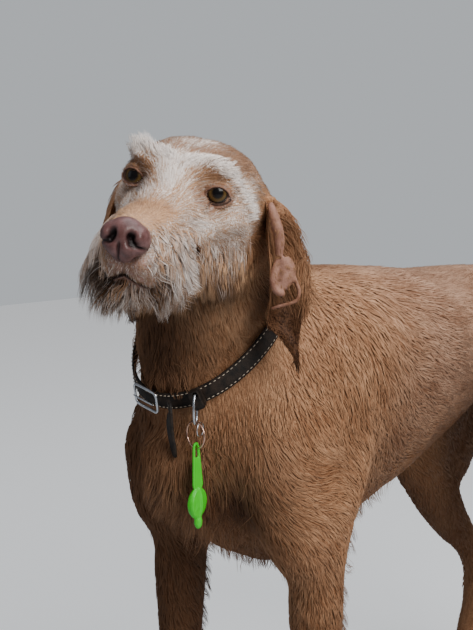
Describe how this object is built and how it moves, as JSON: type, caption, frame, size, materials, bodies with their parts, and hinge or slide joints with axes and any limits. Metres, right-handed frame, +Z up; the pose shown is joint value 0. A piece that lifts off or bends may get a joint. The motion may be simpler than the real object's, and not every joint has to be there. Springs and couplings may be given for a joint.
{
  "type": "dog",
  "caption": "Standing wirehaired pointing dog with its head raised and turned to its left, in a leather collar with a buckle, rings and a soft tag.",
  "frame": {"origin": "centre of the bounding box at the floor, under the dog's trunk", "axes": "+Z up; the dog faces -Y, so +Y runs from its chest to its tail; +X is the dog's left"},
  "size_m": [0.2478, 0.9308, 0.7249],
  "materials": {
    "coat": "matte rusty golden-brown fur",
    "pale_coat": "matte grizzled fawn and white fur",
    "nose_leather": "moist mauve-brown nose leather",
    "eye": "wet, clear cornea over an olive-amber iris",
    "claw": "satin dark horn",
    "collar_leather": "satin dark brown leather with pale stitching",
    "collar_steel": "polished steel",
    "ring_copper": "polished copper-toned wire",
    "tag_green": "matte bright green silicone"
  },
  "bodies": {
    "root": {"neck": "coat", "chest": "coat", "barrel": "coat", "rump": "coat", "tail": "coat", "forepaw_left": "coat", "forepaw_right": "coat", "foreleg_left": "coat", "foreleg_right": "coat", "hindpaw_left": "coat", "hindpaw_right": "coat", "shank_left": "coat", "shank_right": "coat", "thigh_left": "coat", "thigh_right": "coat", "ear_left": "coat", "ear_right": "coat", "head": "pale_coat", "nose": "nose_leather", "eye_left": "eye", "eye_right": "eye", "claw_fore_left_1": "claw", "claw_fore_left_2": "claw", "claw_fore_left_3": "claw", "claw_fore_left_4": "claw", "claw_fore_right_1": "claw", "claw_fore_right_2": "claw", "claw_fore_right_3": "claw", "claw_fore_right_4": "claw", "claw_hind_left_1": "claw", "claw_hind_left_2": "claw", "claw_hind_left_3": "claw", "claw_hind_left_4": "claw", "claw_hind_right_1": "claw", "claw_hind_right_2": "claw", "claw_hind_right_3": "claw", "claw_hind_right_4": "claw", "collar": "collar_leather", "keeper": "collar_leather", "strap_end": "collar_leather", "buckle_frame": "collar_steel", "buckle_prong": "collar_steel", "lead_ring": "collar_steel", "small_ring": "collar_steel", "key_ring": "ring_copper", "tag": "tag_green"}
  },
  "joints": []
}
